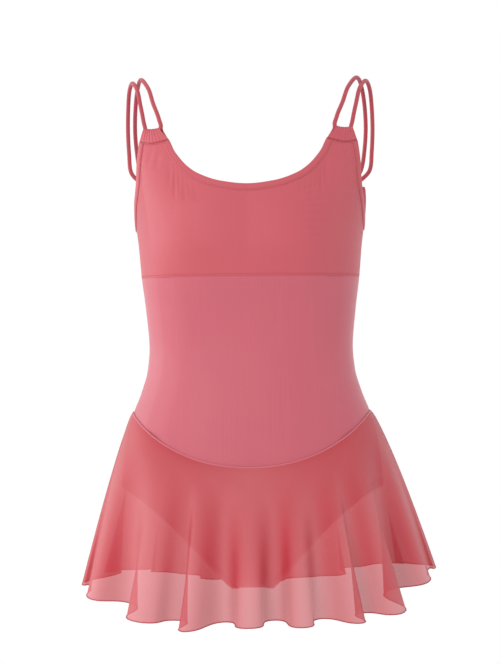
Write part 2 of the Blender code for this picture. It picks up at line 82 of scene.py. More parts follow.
FRONT_NECKLINE = (
    EdgePoint(53.6, -0.0800),
    EdgePoint(54.8, -0.0845),
    EdgePoint(56.5, -0.0929),
    EdgePoint(59.6, -0.1028),
    EdgePoint(63.4, -0.1125),
    EdgePoint(68.9, -0.1221),
    EdgePoint(80.0, -0.1320),
    EdgePoint(90.0, -0.1352),
    EdgePoint(100.0, -0.1320),
)
BACK_ARMHOLE = (
    EdgePoint(0.0, UNDERARM_Z),
    EdgePoint(6.0, -0.1680),
    EdgePoint(12.0, -0.1470),
    EdgePoint(17.0, -0.1310),
)
BACK_CORNER = (
    EdgePoint(17.0, -0.1310),
    EdgePoint(32.0, -0.1330),
)
BACK_NECKLINE = (
    EdgePoint(32.0, -0.1330),
    EdgePoint(38.0, -0.1560),
    EdgePoint(46.0, -0.1930),
    EdgePoint(56.0, -0.2260),
    EdgePoint(70.0, -0.2530),
    EdgePoint(90.0, -0.2620),
    EdgePoint(110.0, -0.2530),
)
FRONT_DIP = 0.0600
FRONT_DIP_POWER = 2.2
BACK_DIP = 0.0180
BACK_DIP_POWER = 2.0
GUSSET_HALF_WIDTH = 0.024
FRONT_LEG_POWER = 1.5
BACK_LEG_POWER = 1.15
HEM_LEFT = 0.2125
HEM_RIGHT = 0.1975
HEM_FRONT = 0.176
HEM_BACK = 0.180
CREST_DROP = 0.0045
FLARE_POWER = 0.8
FOLD_START = 0.10
FOLD_GROWTH = 1.15
FOLD_BULGE = 0.8
FOLD_DEPTH = 1.25
Fold = namedtuple("Fold", "crest_angle crest lean hem_z valley_angle valley")
FOLDS = (
    Fold(0.0, 0.006, 0.000, -0.589, 9.0, 0.002),
    Fold(18.0, 0.005, -0.002, -0.600, 29.0, 0.026),
    Fold(44.0, 0.015, -0.010, -0.628, 52.0, 0.010),
    Fold(58.0, 0.012, -0.007, -0.634, 65.5, 0.012),
    Fold(74.0, 0.014, 0.004, -0.6345, 81.5, 0.014),
    Fold(90.0, 0.014, 0.000, -0.634, 99.5, 0.016),
    Fold(108.0, 0.015, 0.008, -0.639, 114.0, 0.010),
    Fold(124.0, 0.014, 0.009, -0.632, 145.0, 0.022),
    Fold(162.0, 0.005, 0.002, -0.617, 171.5, 0.002),
    Fold(180.0, 0.008, 0.000, -0.607, 197.0, 0.020),
    Fold(211.0, 0.014, -0.004, -0.603, 222.0, 0.015),
    Fold(233.0, 0.013, 0.003, -0.612, 243.0, 0.015),
    Fold(254.0, 0.015, 0.000, -0.626, 264.0, 0.016),
    Fold(275.0, 0.014, -0.003, -0.630, 285.5, 0.015),
    Fold(296.0, 0.014, 0.004, -0.620, 306.5, 0.014),
    Fold(319.0, 0.015, 0.000, -0.599, 342.0, 0.020),
)
STRAP_DIAMETER = 0.005
RoutePoint = namedtuple("RoutePoint", "x y z")
INNER_STRAND = (
    RoutePoint(0.1012, -0.0728, -0.0645),
    RoutePoint(0.1030, -0.0712, -0.0585),
    RoutePoint(0.1058, -0.0665, -0.0500),
    RoutePoint(0.1112, -0.0550, -0.0370),
    RoutePoint(0.1180, -0.0360, -0.0175),
    RoutePoint(0.1285, -0.0080, -0.0030),
    RoutePoint(0.1350, 0.0200, -0.0085),
    RoutePoint(0.1395, 0.0380, -0.0300),
    RoutePoint(0.1412, 0.0475, -0.0580),
    RoutePoint(0.1395, 0.0505, -0.0850),
    RoutePoint(0.1355, 0.0495, -0.1080),
)
OUTER_STRAND = (
    RoutePoint(0.1212, -0.0560, -0.0640),
    RoutePoint(0.1225, -0.0545, -0.0590),
    RoutePoint(0.1243, -0.0505, -0.0500),
    RoutePoint(0.1275, -0.0420, -0.0360),
    RoutePoint(0.1320, -0.0270, -0.0180),
    RoutePoint(0.1400, 0.0000, -0.0060),
    RoutePoint(0.1455, 0.0200, -0.0140),
    RoutePoint(0.1482, 0.0330, -0.0340),
    RoutePoint(0.1492, 0.0390, -0.0600),
    RoutePoint(0.1480, 0.0380, -0.0870),
    RoutePoint(0.1450, 0.0320, -0.1110),
)
STRAP_END_ANGLES = (-27.5, -20.5)
STRAP_END_DEPTH = 0.012
STRAP_END_SLANT = 0.0009
TUNNEL_ENDS = (37.2, 49.6)
TUNNEL_RISE = 0.0115
TUNNEL_WALL = 0.0010
TUNNEL_LAP = 0.0012
TUNNEL_FOOT_HALF = 0.0009
TUNNEL_SPREAD = 4.2

# What only the looks have
SHEER_ALPHA = 0.82
HEM_ROLL = 0.00065
SKIRT_SEAM = 0.0006
STITCH_LENGTH = 0.0026
STITCH_PITCH = 0.0036
STITCH_RADIUS = 0.00028
STITCH_SIDES = 6
STITCH_PROFILE = ((-0.5, 0.25), (-0.36, 1.0), (0.0, 1.15), (0.36, 1.0), (0.5, 0.25))
STITCH_OFFSET = 0.0022
STITCH_OUT = 0.0002
BAND_STITCH_SHARE = 0.80
BAND_THREAD_LIFT = 0.00005
TIP_RADIUS = 0.4
TIP_LENGTH = 0.6
TUNNEL_SEAM_OUT = 0.0006
TUNNEL_SEAM_RADIUS = 0.00055
PIPING_RISE = 0.0004
PIPING_OUT = 0.0009
PIPING_RADIUS = 0.0011
POINTS_PER_FOLD = 24
SKIRT_ROWS = 48

# A band's section: share of the way from the edge to the inner line, and share of its height
BAND_PROFILE = (
    (0.0, 0.25),
    (0.03, 0.7),
    (0.10, 1.0),
    (0.5, 1.05),
    (0.86, 0.95),
    (0.97, 0.6),
    (1.0, 0.15),
)

# Gathers along a strap tunnel: the share of its length where each lies, and its share of depth
Gather = namedtuple("Gather", "share depth")
GATHERS = (
    Gather(0.08, 0.6),
    Gather(0.20, 1.0),
    Gather(0.31, 0.8),
    Gather(0.43, 1.0),
    Gather(0.57, 0.7),
    Gather(0.68, 1.0),
    Gather(0.80, 0.8),
    Gather(0.92, 0.6),
)
GATHER_WIDTH = 0.034
GATHER_DEPTH = 0.0009

# Soft creases of the bust: where each starts, where it ends, how wide and how high it is
Crease = namedtuple("Crease", "x0 z0 x1 z1 width height")
BUST_CREASES = (
    Crease(0.0900, -0.112, 0.0910, -0.140, 0.0020, -0.0011),
    Crease(0.0850, -0.116, 0.0845, -0.152, 0.0019, -0.0014),
    Crease(0.0800, -0.120, 0.0790, -0.146, 0.0017, -0.0010),
    Crease(0.0745, -0.124, 0.0725, -0.158, 0.0020, -0.0012),
    Crease(0.0690, -0.128, 0.0665, -0.150, 0.0017, -0.0009),
    Crease(0.0620, -0.132, 0.0590, -0.156, 0.0020, -0.0008),
    Crease(0.1030, -0.093, 0.1080, -0.118, 0.0026, -0.0009),
    Crease(0.1120, -0.092, 0.1185, -0.114, 0.0026, -0.0007),
)

# Drag lines that run across the left side of the bust alone
BUST_DRAGS = (
    Crease(0.062, -0.146, 0.104, -0.139, 0.0018, 0.00063),
    Crease(0.058, -0.153, 0.108, -0.147, 0.0019, 0.00076),
    Crease(0.056, -0.161, 0.111, -0.156, 0.0020, 0.00088),
    Crease(0.050, -0.168, 0.108, -0.164, 0.0018, 0.00071),
    Crease(0.055, -0.176, 0.112, -0.174, 0.0020, 0.00088),
    Crease(0.052, -0.184, 0.109, -0.184, 0.0019, 0.00076),
    Crease(0.058, -0.192, 0.110, -0.194, 0.0020, 0.00071),
    Crease(0.062, -0.200, 0.106, -0.203, 0.0018, 0.00055),
)


def smooth_curve(points, count=1601):
    """A dense table of one smooth curve through points, which never overshoots them."""
    xs, ys = np.array(sorted(points), float).T
    widths, slopes = np.diff(xs), np.diff(ys) / np.diff(xs)
    tangents = np.zeros(len(xs))
    tangents[0], tangents[-1] = slopes[0], slopes[-1]
    for i in range(1, len(xs) - 1):
        if slopes[i - 1] * slopes[i] > 0:
            a, b = 2 * widths[i] + widths[i - 1], widths[i] + 2 * widths[i - 1]
            tangents[i] = (a + b) / (a / slopes[i - 1] + b / slopes[i])
    at = np.linspace(xs[0], xs[-1], count)
    i = np.clip(np.searchsorted(xs, at) - 1, 0, len(xs) - 2)
    t = (at - xs[i]) / widths[i]
    values = (
        ys[i] * (1 + 2 * t) * (1 - t) ** 2
        + ys[i + 1] * t * t * (3 - 2 * t)
        + widths[i] * (tangents[i] * t * (1 - t) ** 2 - tangents[i + 1] * t * t * (1 - t))
    )
    return at, values


HALF_CURVE, FRONT_CURVE, BACK_CURVE = (
    smooth_curve([(row.z, getattr(row, column)) for row in BODY])
    for column in ("half_width", "front", "back")
)


def body(angle, z):
    """Points of the leotard's outer face at arrays of angles, in degrees, and heights."""
    angle, z = np.broadcast_arrays(np.asarray(angle, float), np.asarray(z, float))
    c, s = np.cos(np.radians(angle)), np.sin(np.radians(angle))
    power = 2 / BODY_SQUARENESS
    down = np.clip((HIP_Z - z) / (HIP_Z - CROTCH_Z), 0, 1)
    depth = np.where(s > 0, np.interp(z, *FRONT_CURVE), np.interp(z, *BACK_CURVE))
    depth = depth * np.sqrt(1 - down * down)
    x = np.interp(z, *HALF_CURVE) * np.sign(c) * np.abs(c) ** power
    y = -depth * np.sign(s) * np.abs(s) ** power
    away = ((np.abs(x) - BUST_X) / BUST_SPREAD_X) ** 2 + ((z - BUST_Z) / BUST_SPREAD_Z) ** 2
    y = y - np.where(s > 0, BUST_RISE * s * np.exp(-away / 2), 0)
    return np.stack((x, y, z), axis=-1)


def slopes_at(angle, z):
    angle, z = np.broadcast_arrays(np.asarray(angle, float), np.asarray(z, float))
    step, dip = 0.25, 0.0004
    round_it = (body(angle + step, z) - body(angle - step, z)) / (2 * step)
    low, high = np.maximum(z - dip, CROTCH_Z + 1e-7), z + dip
    along_it = (body(angle, high) - body(angle, low)) / (high - low)[..., None]
    return round_it, along_it


def normal_at(angle, z):
    round_it, along_it = slopes_at(angle, z)
    normal = np.cross(along_it, round_it)
    a = np.radians(np.broadcast_to(angle, normal.shape[:-1]))
    away = np.stack((np.cos(a), -np.sin(a), np.zeros_like(a)), axis=-1)
    normal *= np.sign((normal * away).sum(axis=-1, keepdims=True))
    return normal / np.linalg.norm(normal, axis=-1, keepdims=True)


def raised(angle, z, out=0.0):
    out = np.asarray(out, float)
    return body(angle, z) + out[..., None] * normal_at(angle, z)


def folded(angle):
    around = np.asarray(angle, float) % 180
    return np.minimum(around, 180 - around)


def edge_curve(*edges):
    """One cut edge from several tables, end to end, each smooth in itself."""
    at, values = zip(*(smooth_curve(edge, 601) for edge in edges))
    return np.concatenate(at), np.concatenate(values)


FRONT_TOP = edge_curve(FRONT_EDGE, STRAP_CORNER, FRONT_NECKLINE)
BACK_TOP = edge_curve(BACK_ARMHOLE, BACK_CORNER, BACK_NECKLINE)


def front_top(angle):
    return np.interp(folded(angle), *FRONT_TOP)


def back_top(angle):
    return np.interp(folded(angle), *BACK_TOP)


def bust_seam(angle):
    return np.full(np.shape(angle), BUST_SEAM_Z)


def hip_seam(angle):
    s = np.sin(np.radians(angle))
    front = FRONT_DIP * np.abs(s) ** FRONT_DIP_POWER
    back = BACK_DIP * np.abs(s) ** BACK_DIP_POWER
    return SIDE_SEAM_Z - np.where(s > 0, front, back)


def leg_edge(angle):
    half = np.interp(HIP_Z, *HALF_CURVE)
    x = half * np.cos(np.radians(folded(angle))) ** (2 / BODY_SQUARENESS)
    across = np.clip((x - GUSSET_HALF_WIDTH) / (half - GUSSET_HALF_WIDTH), 0, 1)
    power = np.where(np.sin(np.radians(angle)) > 0, FRONT_LEG_POWER, BACK_LEG_POWER)
    return HIP_Z + (CROTCH_Z - HIP_Z) * (1 - across) ** power


def edge_angle(turn):
    half = np.interp(HIP_Z, *HALF_CURVE)
    across = 1 - math.sin(math.radians(turn)) ** (1 / FRONT_LEG_POWER)
    x = GUSSET_HALF_WIDTH + (half - GUSSET_HALF_WIDTH) * across
    return math.degrees(math.acos((x / half) ** (BODY_SQUARENESS / 2)))


def spaced(*stops):
    """Angles from stop to stop, given as angle, count, angle, count, ... angle."""
    angles = [stops[0]]
    for start, count, end in zip(stops[0:-2:2], stops[1:-1:2], stops[2::2]):
        angles += [start + (end - start) * (i + 1) / count for i in range(count)]
    return angles


def mirrored_angles(half):
    return np.array(half + [180 - angle for angle in reversed(half[:-1])])


def crease_height(points, creases, both_sides=True):
    """How far soft creases lift the cloth at points, alike on both sides or on the left alone."""
    x, z = np.abs(points[..., 0]) if both_sides else points[..., 0], points[..., 2]
    height = np.zeros(x.shape)
    for crease in creases:
        run = np.array((crease.x1 - crease.x0, crease.z1 - crease.z0))
        length = np.linalg.norm(run)
        run = run / length
        along = (x - crease.x0) * run[0] + (z - crease.z0) * run[1]
        across = (x - crease.x0) * run[1] - (z - crease.z0) * run[0]
        share = np.clip(along / length, 0, 1)
        swell = np.sin(math.pi * np.clip(share * 0.92 + 0.08, 0, 1)) ** 0.8
        beyond = np.maximum(np.abs(along / length - 0.5) - 0.5, 0) * length
        height += crease.height * swell * np.exp(-((across / crease.width) ** 2)) * np.exp(
            -((beyond / 0.004) ** 2)
        )
    return height


# Meshes


def arc_lengths(grid):
    """Real lengths across and down a grid of points, for materials that follow the cloth."""
    across = np.linalg.norm(np.diff(grid, axis=1), axis=2).cumsum(axis=1)
    across = np.concatenate((np.zeros((len(grid), 1)), across), axis=1)
    across -= across[:, -1:] / 2
    down = np.linalg.norm(np.diff(grid, axis=0), axis=2).cumsum(axis=0)
    down = np.concatenate((np.zeros((1, grid.shape[1])), down), axis=0)
    return np.stack((across, -down), axis=-1)


def mesh_object(name, points, faces, uvs, material, node=None, smooth_angle=50):
    mesh = bpy.data.meshes.new(name)
    mesh.from_pydata(np.asarray(points).tolist(), [], faces)
    mesh.update()
    layer = mesh.uv_layers.new(name="cloth")
    vertices = np.empty(len(mesh.loops), int)
    mesh.loops.foreach_get("vertex_index", vertices)
    layer.data.foreach_set("uv", np.asarray(uvs, float)[vertices].ravel())
    mesh.materials.append(material)
    mesh.shade_smooth()
    mesh.set_sharp_from_angle(angle=math.radians(smooth_angle))
    obj = bpy.data.objects.new(name, mesh)
    bpy.context.scene.collection.objects.link(obj)
    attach(obj, "root")
    if node:
        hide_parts(node)
    return obj


def shell(name, outer, inner, material, node=None, looped=False):
    """A closed wall between two grids of points, rows by columns."""
    outer, inner = np.array(outer), np.array(inner)
    rows, columns = outer.shape[:2]
    points = np.concatenate((outer.reshape(-1, 3), inner.reshape(-1, 3)))
    uv = arc_lengths(outer).reshape(-1, 2)
    back = rows * columns

    def at(i, j, side=0):
        return side * back + i * columns + j % columns

    spans = columns if looped else columns - 1
    faces = []
    for i in range(rows - 1):
        for j in range(spans):
            ring = (at(i, j), at(i + 1, j), at(i + 1, j + 1), at(i, j + 1))
            faces += [ring, tuple(back + ring[k] for k in (0, 3, 2, 1))]
    last = rows - 1
    for j in range(spans):
        faces.append((at(0, j), at(0, j + 1), at(0, j + 1, 1), at(0, j, 1)))
        faces.append((at(last, j + 1), at(last, j), at(last, j, 1), at(last, j + 1, 1)))
    if not looped:
        end = columns - 1
        for i in range(rows - 1):
            faces.append((at(i + 1, 0), at(i, 0), at(i, 0, 1), at(i + 1, 0, 1)))
            faces.append((at(i, end), at(i + 1, end), at(i + 1, end, 1), at(i, end, 1)))
    if signed_volume(points, faces) < 0:
        faces = [tuple(reversed(face)) for face in faces]
    return mesh_object(name, points, faces, np.concatenate((uv, uv)), material, node)


def signed_volume(points, faces):
    quads = np.array(faces)
    a, b, c, d = (points[quads[:, k]] for k in range(4))
    return float((a * np.cross(b, c)).sum() + (a * np.cross(c, d)).sum()) / 6


def open_sheet(name, grid, material, node=None):
    """One layer of sheer cloth from a grid of points."""
    rows, columns = grid.shape[:2]
    faces = [
        (i * columns + j, (i + 1) * columns + j, (i + 1) * columns + j + 1, i * columns + j + 1)
        for i in range(rows - 1)
        for j in range(columns - 1)
    ]
    uv = arc_lengths(grid).reshape(-1, 2)
    return mesh_object(name, grid.reshape(-1, 3), faces, uv, material, node, 180)


def tube(name, line, radius, material, node=None, sides=8, flat=1.0, outs=None):
    """A round or flattened tube along a line of points, its ends rounded off."""
    line = np.asarray(line, float)
    line = np.concatenate((line[:1], line, line[-1:]))
    outs = None if outs is None else np.concatenate((outs[:1], outs, outs[-1:]))
    count = len(line)
    radii = np.full(count, radius)
    radii[[0, -1]] *= TIP_RADIUS
    for end, within in ((0, 2), (-1, -3)):
        away = line[end] - line[within]
        line[end] += away / np.linalg.norm(away) * radius * TIP_LENGTH
    ahead = np.concatenate((line[1:], line[-1:]))
    behind = np.concatenate((line[:1], line[:-1]))
    tangents = ahead - behind
    tangents /= np.linalg.norm(tangents, axis=1, keepdims=True)
    if outs is None:
        first = np.array((0, 0, 1.0)) if abs(tangents[0][2]) < 0.9 else np.array((1.0, 0, 0))
        frame = [first]
        for tangent in tangents:
            side = frame[-1] - tangent * (frame[-1] @ tangent)
            frame.append(side / np.linalg.norm(side))
        outs = np.array(frame[1:])
    else:
        outs = outs - tangents * (outs * tangents).sum(axis=1, keepdims=True)
        outs /= np.linalg.norm(outs, axis=1, keepdims=True)
    across = np.cross(tangents, outs)
    turns = np.arange(sides) * 2 * math.pi / sides
    points = (
        line[:, None]
        + outs[:, None] * (np.sin(turns) * flat)[None, :, None] * radii[:, None, None]
        + across[:, None] * np.cos(turns)[None, :, None] * radii[:, None, None]
    )
    along = np.concatenate(([0], np.linalg.norm(np.diff(line, axis=0), axis=1).cumsum()))
    uv = np.stack(np.broadcast_arrays(turns[None] * radius, along[:, None]), axis=-1)
    faces = []
    for i in range(count - 1):
        for j in range(sides):
            k, m = i + 1, (j + 1) % sides
            faces.append((i * sides + j, k * sides + j, k * sides + m, i * sides + m))
    faces.append(tuple(range(sides)))
    faces.append(tuple((count - 1) * sides + j for j in reversed(range(sides))))
    return mesh_object(
        name, points.reshape(-1, 3), faces, uv.reshape(-1, 2), material, node, 60
    )


def even_steps(line, step):
    """Places at an even step along a line, counted in its points."""
    line = np.asarray(line, float)
    along = np.concatenate(([0], np.linalg.norm(np.diff(line, axis=0), axis=1).cumsum()))
    places = np.arange(step / 2, along[-1], step)
    return np.interp(places, along, np.arange(len(line)))


def stitches(name, line, outs, material):
    """A row of sewn stitches on a line of points, joined as one mesh."""
    starts = even_steps(line, STITCH_PITCH)
    index = np.arange(len(line))

    def sample(values, at):
        return np.stack([np.interp(at, index, values[:, k]) for k in range(3)], axis=-1)

    centres, up = sample(line, starts), sample(outs, starts)
    runs = sample(line, starts + 0.5) - sample(line, starts - 0.5)
    runs /= np.linalg.norm(runs, axis=1, keepdims=True)
    up /= np.linalg.norm(up, axis=1, keepdims=True)
    across = np.cross(runs, up)
    profile, sides = STITCH_PROFILE, STITCH_SIDES
    points, faces = [], []
    for centre, run, rise, side in zip(centres, runs, up, across):
        first = len(points)
        for along, size in profile:
            for k in range(sides):
                turn = 2 * math.pi * k / sides
                points.append(
                    centre
                    + run * along * STITCH_LENGTH
                    + (rise * math.sin(turn) * 0.8 + side * math.cos(turn)) * size * STITCH_RADIUS
                )
        for i in range(len(profile) - 1):
            for k in range(sides):
                a, b = first + i * sides, first + (i + 1) * sides
                m = (k + 1) % sides
                faces.append((a + k, b + k, b + m, a + m))
        faces.append(tuple(first + k for k in range(sides)))
        end = first + (len(profile) - 1) * sides
        faces.append(tuple(end + k for k in reversed(range(sides))))
    uv = np.zeros((len(points), 2))
    return mesh_object(name, points, faces, uv, material, None, 180)


# Cloth


# The record of a piece of cloth's flat cut, in metres and square metres; no piece's cut is filled in
# here
Cut = namedtuple("Cut", "width length area held rests_on")


# Materials


# Noise of the cloth: its broad unevenness, its nap, and the streaks of its wales
BROAD_SCALE = 14.0
NAP_SCALE = 900.0
STREAK_STRETCH = (520.0, 9.0, 1.0)


class Nodes:
    """A short way to build a material's nodes."""

    def __init__(self, name):
        self.material = bpy.data.materials.new(name)
        self.material.use_nodes = True
        self.tree = self.material.node_tree
        self.shader = self.tree.nodes["Principled BSDF"]

    def add(self, kind, values=(), **settings):
        node = self.tree.nodes.new(kind)
        for key, value in settings.items():
            setattr(node, key, value)
        for key, value in dict(values).items():
            if isinstance(value, bpy.types.NodeSocket):
                self.tree.links.new(value, node.inputs[key])
            else:
                node.inputs[key].default_value = value
        return node

    def math(self, operation, a, b=0.0, clamp=False):
        node = self.add("ShaderNodeMath", {0: a, 1: b}, operation=operation, use_clamp=clamp)
        return node.outputs[0]

    def weighted(self, *terms, clamp=False):
        """The sum of several values, each times its weight."""
        parts = [self.math("MULTIPLY", value, weight) for value, weight in terms]
        total = parts[0]
        for part in parts[1:]:
            total = self.math("ADD", total, part, clamp=clamp and part is parts[-1])
        return total

    def mix(self, factor, a, b):
        node = self.add("ShaderNodeMix", data_type="RGBA")
        for socket, value in zip((node.inputs[0], node.inputs[6], node.inputs[7]), (factor, a, b)):
            if isinstance(value, bpy.types.NodeSocket):
                self.tree.links.new(value, socket)
            else:
                socket.default_value = value
        return node.outputs[2]

    def noise(self, vector, scale, detail=2.0, stretch=(1, 1, 1)):
        mapped = self.add("ShaderNodeMapping", {"Vector": vector, "Scale": stretch})
        return self.add(
            "ShaderNodeTexNoise", {"Vector": mapped.outputs[0], "Scale": scale, "Detail": detail}
        ).outputs["Fac"]

    def set(self, **values):
        for key, value in values.items():
            socket = self.shader.inputs[key.replace("_", " ")]
            if isinstance(value, bpy.types.NodeSocket):
                self.tree.links.new(value, socket)
            else:
                socket.default_value = value


def ribs(nodes, uv, pitch, direction="X"):
    """A fine rib across the cloth, from 0 in the furrow to 1 on the rib, at a pitch in metres."""
    split = nodes.add("ShaderNodeSeparateXYZ", {0: uv})
    turn = nodes.math("MULTIPLY", split.outputs[direction], 2 * math.pi / pitch)
    wave = nodes.math("SINE", turn)
    return nodes.math("ADD", nodes.math("MULTIPLY", wave, 0.5), 0.5)


def knit(
    name, colour, rib_pitch, rib_depth, tone, roughness, sheen, alpha=1.0, streaks=0.0, fold_shade_colour=None
):
    """Stretch cloth with fine wales, a soft unevenness of tone and a light nap, and, if given, painted
    shade on the sides of folds.
    """
    nodes = Nodes(name)
    coordinates = nodes.add("ShaderNodeTexCoord").outputs
    uv, place = coordinates["UV"], coordinates["Object"]
    broad = nodes.noise(place, BROAD_SCALE, 2.0)
    fine = nodes.noise(uv, NAP_SCALE, 3.0)
    streak = nodes.noise(uv, 1.0, 3.0, STREAK_STRETCH)
    wale = ribs(nodes, uv, rib_pitch)
    course = ribs(nodes, uv, rib_pitch * 0.8, "Y")
    dark = tuple(c * tone for c in colour[:3]) + (1.0,)
    light = tuple(min(c * (2 - tone), 1.0) for c in colour[:3]) + (1.0,)
    shade = nodes.weighted(
        (broad, 0.45), (fine, 0.25), (wale, 0.12), (streak, 0.18 + streaks), clamp=True
    )
    height = nodes.weighted((wale, 0.7), (course, 0.3), (fine, 0.5))
    bump = nodes.add(
        "ShaderNodeBump", {"Height": height, "Distance": rib_depth, "Strength": 0.6}
    ).outputs[0]
    rough = nodes.math("ADD", roughness - 0.05, nodes.math("MULTIPLY", fine, 0.1))
    base = nodes.mix(shade, dark, light)
    # Painted shade: on the sides of the skirt's folds the colour is mixed towards a darker red, as
    # such a fold looks when shaded and seen edge-on.
    if fold_shade_colour:
        fold_shade = nodes.add("ShaderNodeAttribute", attribute_name="fold_shade").outputs["Fac"]
        share = nodes.math("MULTIPLY", nodes.math("POWER", fold_shade, 1.4), 1.25, clamp=True)
        base = nodes.mix(share, base, fold_shade_colour + (1.0,))
    nodes.set(Base_Color=base, Roughness=rough, Normal=bump)
    nodes.set(Sheen_Weight=sheen, Sheen_Roughness=0.45, Specular_IOR_Level=0.25)
    nodes.shader.inputs["Sheen Tint"].default_value = (1.0, 0.78, 0.80, 1.0)
    nodes.set(Alpha=alpha)
    return nodes.material


OPAQUE = knit("opaque_knit", (0.49, 0.087, 0.109), 0.0008, 0.00010, 0.93, 0.48, 0.14)
MESH = knit("power_mesh", (0.47, 0.098, 0.130), 0.0015, 0.00016, 0.87, 0.48, 0.30, streaks=0.22)
# The sheer mesh carries painted shade: a darker red on the sides of its folds.
SHEER = knit(
    "sheer_mesh", (0.54, 0.112, 0.128), 0.0011, 0.00010, 0.92, 0.60, 0.08, SHEER_ALPHA,
    fold_shade_colour=(0.47, 0.030, 0.045),
)
CORD = knit("cord_knit", (0.42, 0.058, 0.078), 0.0009, 0.00020, 0.88, 0.50, 0.10)
THREAD = knit("sewing_thread", (0.45, 0.075, 0.094), 0.0005, 0.00010, 0.92, 0.45, 0.05)
# Painted highlight: the hip seam's ridge is coloured lighter than the cloth around it, like a ridge
# that catches the light.
SEAM_HIGHLIGHT = knit("seam_ridge_highlight", (0.54, 0.125, 0.156), 0.0006, 0.00010, 0.92, 0.50, 0.20)
EDGE = knit("rolled_edge", (0.40, 0.052, 0.070), 0.0006, 0.00010, 0.90, 0.55, 0.08)


# The leotard


def panel_grid(angles, top, bottom, rows, ends_under=False):
    shares = np.linspace(0, 1, rows + 1)
    if ends_under:
        shares = np.sin(shares * math.pi / 2)
    high, low = top(angles) - SEAM_GAP / 2, bottom(angles)
    at_crotch = low < CROTCH_Z + 1e-6
    low = np.where(at_crotch, low, low + SEAM_GAP / 2)
    z = high + (low - high) * shares[:, None]
    return np.broadcast_to(angles, z.shape), z, at_crotch


def panel(name, angles, top, bottom, rows, material, ends_under=False, creases=(), drags=()):
    """A finer copy of a panel, on its solid's own outer and inner face."""
    angle, z, at_crotch = panel_grid(angles, top, bottom, rows, ends_under)
    places = body(angle, z)
    lift = crease_height(places, creases) + crease_height(places, drags, both_sides=False)
    outer, inner = raised(angle, z, lift), raised(angle, z, lift - KNIT_WALL)
    front = math.sin(math.radians(angles[len(angles) // 2])) > 0
    seam = (-1 if front else 1) * SEAM_GAP / 2
    for grid in (outer, inner):
        grid[:, (0, -1), 1] = seam
        grid[-1, at_crotch, 1] = seam
    return shell(name, outer, inner, material, name.removesuffix("_cloth"))


def leotard():
    bust = mirrored_angles(spaced(0.0, 12, 20.0, 18, 32.4, 14, 53.6, 10, 60.0, 36, 90.0))
    under = [edge_angle(turn) for turn in spaced(14, 34, 90)]
    front = mirrored_angles(spaced(0.0, 16, 36.0) + under[:-1] + spaced(under[-1], 8, 90.0))
    back = -mirrored_angles(spaced(0.0, 14, 17.0, 8, 32.0, 34, 90.0))
    return {
        "front_bust": panel(
            "front_bust_cloth", bust, front_top, bust_seam, 90, OPAQUE,
            creases=BUST_CREASES, drags=BUST_DRAGS,
        ),
        "front_midriff": panel(
            "front_midriff_cloth", front, bust_seam, hip_seam, 60, MESH
        ),
        "front_brief": panel(
            "front_brief_cloth", front, hip_seam, leg_edge, 40, OPAQUE, True
        ),
        "back_bodice": panel(
            "back_bodice_cloth", back, back_top, hip_seam, 80, OPAQUE
        ),
        "back_brief": panel(
            "back_brief_cloth", -front, hip_seam, leg_edge, 40, OPAQUE, True
        ),
    }


# Turned and stitched edges


def inset(angle, z, angle_step, z_step, width):
    """Where the surface lies a width inside an edge that runs along (angle_step, z_step)."""
    round_it, along_it = slopes_at(angle, z)
    run = round_it * angle_step + along_it * z_step
    across = np.cross(normal_at(angle, z), run / np.linalg.norm(run))
    moves, *_ = np.linalg.lstsq(np.column_stack((round_it, along_it)), across * width, rcond=None)
    return angle + moves[0], z + moves[1]


def along_edge(angles, height):
    """Rows of (angle, z) from a cut edge to the inner line of its band."""
    path = [(float(a), float(height(a)) - SEAM_GAP / 2) for a in angles]
    rows = []
    for i, (angle, z) in enumerate(path):
        before, after = path[max(i - 1, 0)], path[min(i + 1, len(path) - 1)]
        line = inset(angle, z, after[0] - before[0], after[1] - before[1], BAND_WIDTH)
        rows.append(((angle, z), line))
    return rows


def band(name, places, looped=False, mirrored=False):
    """A turned edge with rounded sides, and its row of stitches. Places are (edge, inner) frames."""
    outer, inner, line, outs = [], [], [], []
    for (edge, edge_out), (inner_line, line_out) in places:
        row_out, row_in = [], []
        for share, height in BAND_PROFILE:
            base = edge + (inner_line - edge) * share
            out = edge_out + (line_out - edge_out) * share
            out = out / np.linalg.norm(out)
            sag = np.linalg.norm(inner_line - edge) ** 2 * 4 * share * (1 - share)
            row_out.append(base + out * (BAND_LIFT + BAND_WALL * height + sag * 0.9))
            row_in.append(base + out * BAND_LIFT)
        outer.append(row_out)
        inner.append(row_in)
        base = edge + (inner_line - edge) * BAND_STITCH_SHARE
        out = (edge_out + line_out) / 2
        line.append(base + out * (BAND_LIFT + BAND_WALL + BAND_THREAD_LIFT))
        outs.append(out)
    flip = np.array((-1 if mirrored else 1, 1, 1))
    outer, inner = np.array(outer) * flip, np.array(inner) * flip
    line, outs = np.array(line) * flip, np.array(outs) * flip
    if looped:
        outer, inner = outer.swapaxes(0, 1), inner.swapaxes(0, 1)
        line = np.concatenate((line, line[:1]))
        outs = np.concatenate((outs, outs[:1]))
    return [
        shell(f"{name}_edge", outer, inner, OPAQUE, name, looped),
        stitches(f"{name}_stitches", line, outs, THREAD),
    ]


def framed(rows):
    """The points and normals of rows of (angle, z) pairs."""
    return [
        tuple((raised(a, z), normal_at(a, z)) for a, z in pair)
        for pair in rows
    ]


def outside_body(point):
    """Above 0 outside the plain body, below 0 inside it."""
    x, y, z = point
    curve = FRONT_CURVE if y < 0 else BACK_CURVE
    depth, half = np.interp(z, *curve), np.interp(z, *HALF_CURVE)
    across = abs(x / half) ** BODY_SQUARENESS
    down = max((HIP_Z - z) / (HIP_Z - CROTCH_Z), 0.0)
    left = math.copysign(abs(1 - down * down) ** (BODY_SQUARENESS / 2), 1 - down * down)
    return abs(y / depth) ** BODY_SQUARENESS - (1 - across) * left


